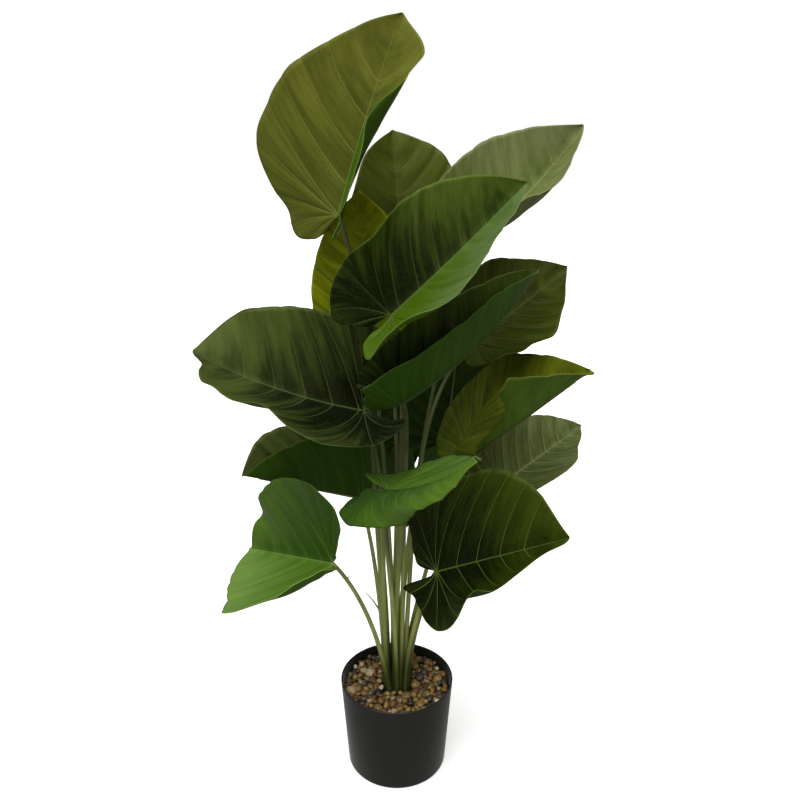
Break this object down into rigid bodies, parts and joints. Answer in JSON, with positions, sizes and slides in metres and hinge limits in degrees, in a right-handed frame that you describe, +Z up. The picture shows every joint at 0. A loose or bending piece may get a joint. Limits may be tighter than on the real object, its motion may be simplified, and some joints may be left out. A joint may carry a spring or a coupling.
{
  "type": "potted alocasia",
  "caption": "Tall imitation alocasia: a bunch of slim green stalks with broad folded heart-shaped leaves, standing in soil topped with gravel in a round tapered black pot.",
  "frame": {"origin": "centre of the pot's flat underside", "axes": "+Z up along the pot's axis, -Y towards the viewer that the large folded leaf faces, +X to that viewer's right"},
  "size_m": [0.4536, 0.4746, 0.8782],
  "materials": {
    "pot_plastic": "satin near-black plastic",
    "soil": "matt dark filling that weights the pot",
    "gravel": "mixed cream, tan, orange-brown and grey pebbles, slightly glossy",
    "stalk": "satin olive green plastic",
    "leaf": "satin green sheet with pale veins, lighter at the edges"
  },
  "bodies": {
    "root": {"pot": "pot_plastic", "soil": "soil", "gravel": "gravel", "blade_crown_left": "leaf", "stalk_crown_left": "stalk", "blade_crown_back": "leaf", "stalk_crown_back": "stalk", "blade_behind_large": "leaf", "stalk_behind_large": "stalk", "blade_large_front": "leaf", "stalk_large_front": "stalk", "blade_crown_right": "leaf", "stalk_crown_right": "stalk", "blade_left": "leaf", "stalk_left": "stalk", "blade_left_lower": "leaf", "stalk_left_lower": "stalk", "blade_low_left": "leaf", "stalk_low_left": "stalk", "blade_low_front": "leaf", "stalk_low_front": "stalk", "blade_low_right": "leaf", "stalk_low_right": "stalk", "blade_right_back": "leaf", "stalk_right_back": "stalk", "blade_right": "leaf", "stalk_right": "stalk", "blade_right_upper": "leaf", "stalk_right_upper": "stalk", "blade_right_front": "leaf", "stalk_right_front": "stalk", "blade_back_left": "leaf", "stalk_back_left": "stalk", "blade_back_low": "leaf", "stalk_back_low": "stalk", "blade_back_right": "leaf", "stalk_back_right": "stalk", "blade_back_high": "leaf", "stalk_back_high": "stalk"}
  },
  "joints": []
}
